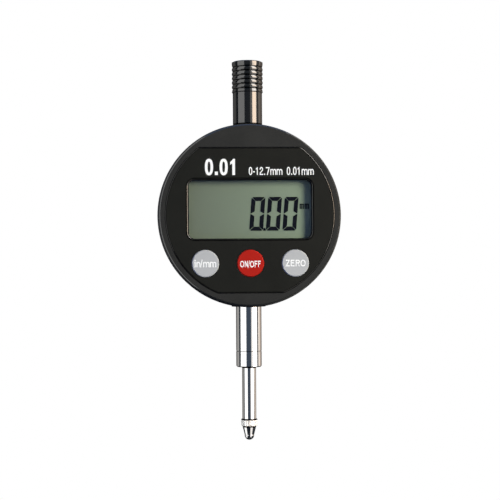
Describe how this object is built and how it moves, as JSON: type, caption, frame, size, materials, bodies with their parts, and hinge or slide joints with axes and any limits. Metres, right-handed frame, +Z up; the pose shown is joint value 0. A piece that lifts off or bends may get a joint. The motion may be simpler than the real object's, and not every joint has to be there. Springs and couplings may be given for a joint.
{
  "type": "digital indicator",
  "caption": "Round-bodied digital plunger indicator with display, push buttons, clamping stem, sprung measuring spindle, screw-on dust cap and lug back.",
  "frame": {"origin": "on the spindle axis, in the middle of the stem's clamping length", "axes": "+Z up along the spindle axis, from the contact ball to the dust cap; the display faces -Y and +X is to its right"},
  "size_m": [0.0562, 0.0387, 0.1182],
  "materials": {
    "case_paint": "satin black powder coat, slightly rough",
    "bezel": "satin black moulded plastic",
    "plate": "matt black sheet with printed white marks",
    "lens": "clear acrylic window",
    "lcd_glass": "grey-green reflective display",
    "lcd_rear": "display's rear glass with reflector",
    "grey_key": "smooth light grey",
    "red_key": "smooth signal red",
    "black_rubber": "black nitrile",
    "keypad_rubber": "translucent grey silicone",
    "carbon": "conductive carbon",
    "zebra_rubber": "layered pale rubber",
    "holder_plastic": "white moulded frame",
    "board_green": "green solder mask",
    "chip_black": "black epoxy",
    "ceramic": "tan ceramic with tinned ends",
    "stem_chrome": "ground and bright chromed",
    "spindle_steel": "ground hardened stainless steel",
    "point_steel": "polished steel, knurled collar",
    "carbide": "polished carbide ball",
    "steel": "plain bright steel",
    "bronze": "reamed bronze",
    "cast_alloy": "machined light alloy",
    "scale_laminate": "gold patterned laminate",
    "shoe_plastic": "white slippery plastic",
    "dark_chrome": "black chromed, turned",
    "cell_steel": "nickel-plated steel can",
    "contact_metal": "nickel-plated spring brass",
    "cap_plastic": "black moulded plastic"
  },
  "bodies": {
    "case": {"housing": "case_paint", "front_cover": "bezel", "face_plate": "plate", "front_gasket": "black_rubber", "back_gasket": "black_rubber", "back_cover": "case_paint", "back_screws": "steel", "front_screws": "steel", "window_lens": "lens", "lcd_front_glass": "lcd_glass", "lcd_rear_glass": "lcd_rear", "zebra_strips": "zebra_rubber", "lcd_holder": "holder_plastic", "keypad": "keypad_rubber", "main_board": "board_green", "board_screws": "steel", "sensor_board": "board_green", "controller_chip": "chip_black", "crystal": "steel", "board_capacitors": "ceramic", "stem": "stem_chrome", "stem_nose": "stem_chrome", "spindle_wiper": "black_rubber", "lower_bush": "bronze", "cap_nipple": "steel", "upper_bush": "bronze", "lower_stop": "black_rubber", "upper_stop": "black_rubber", "guide_rod": "steel", "return_spring": "steel", "battery": "cell_steel", "negative_contact": "contact_metal", "battery_spring": "contact_metal", "positive_contact": "contact_metal"},
    "spindle_group": {"spindle": "spindle_steel", "contact_point": "point_steel", "contact_ball": "carbide", "carrier": "cast_alloy", "carrier_screw": "steel", "scale_strip": "scale_laminate", "guide_shoe": "shoe_plastic"},
    "unit_key": {"unit_button": "grey_key", "unit_pill": "carbon"},
    "power_key": {"power_button": "red_key", "power_pill": "carbon"},
    "zero_key": {"zero_button": "grey_key", "zero_pill": "carbon"},
    "cap_seal_ring": {"cap_seal": "black_rubber"},
    "dust_cap_body": {"dust_cap": "dark_chrome"},
    "battery_seal_ring": {"battery_cap_seal": "black_rubber"},
    "battery_cap_body": {"battery_cap": "cap_plastic"}
  },
  "joints": [
    {"name": "spindle_travel", "type": "slide", "parent": "case", "child": "spindle_group", "axis": [0, 0, 1], "range_m": [0, 0.013], "stiffness_N_per_m": 40, "springref_m": -0.022, "deforming": ["return_spring"]},
    {"name": "unit_button_press", "type": "slide", "parent": "case", "child": "unit_key", "axis": [0, 1, 0], "range_m": [0, 0.00045], "stiffness_N_per_m": 2000, "springref_m": -0.0005, "deforming": ["keypad"]},
    {"name": "power_button_press", "type": "slide", "parent": "case", "child": "power_key", "axis": [0, 1, 0], "range_m": [0, 0.00045], "stiffness_N_per_m": 2000, "springref_m": -0.0005, "deforming": ["keypad"]},
    {"name": "zero_button_press", "type": "slide", "parent": "case", "child": "zero_key", "axis": [0, 1, 0], "range_m": [0, 0.00045], "stiffness_N_per_m": 2000, "springref_m": -0.0005, "deforming": ["keypad"]},
    {"name": "dust_cap_lift", "type": "slide", "parent": "case", "child": "cap_seal_ring", "axis": [0, 0, 1], "range_m": [0, 0.00375]},
    {"name": "dust_cap_turn", "type": "hinge", "parent": "cap_seal_ring", "child": "dust_cap_body", "pos_m": [0, 0, 0.0632], "axis": [0, 0, 1], "range_deg": [0, 1800]},
    {"name": "battery_cap_lift", "type": "slide", "parent": "case", "child": "battery_seal_ring", "axis": [0, 1, 0], "range_m": [0, 0.0015]},
    {"name": "battery_cap_turn", "type": "hinge", "parent": "battery_seal_ring", "child": "battery_cap_body", "pos_m": [-0.0145, 0.0087, 0.035], "axis": [0, -1, 0], "range_deg": [0, 540]}
  ],
  "couplings": [
    {"joint": "dust_cap_turn", "follows": "dust_cap_lift", "rad_per_m": 8377.6},
    {"joint": "battery_cap_turn", "follows": "battery_cap_lift", "rad_per_m": 6283.2}
  ]
}
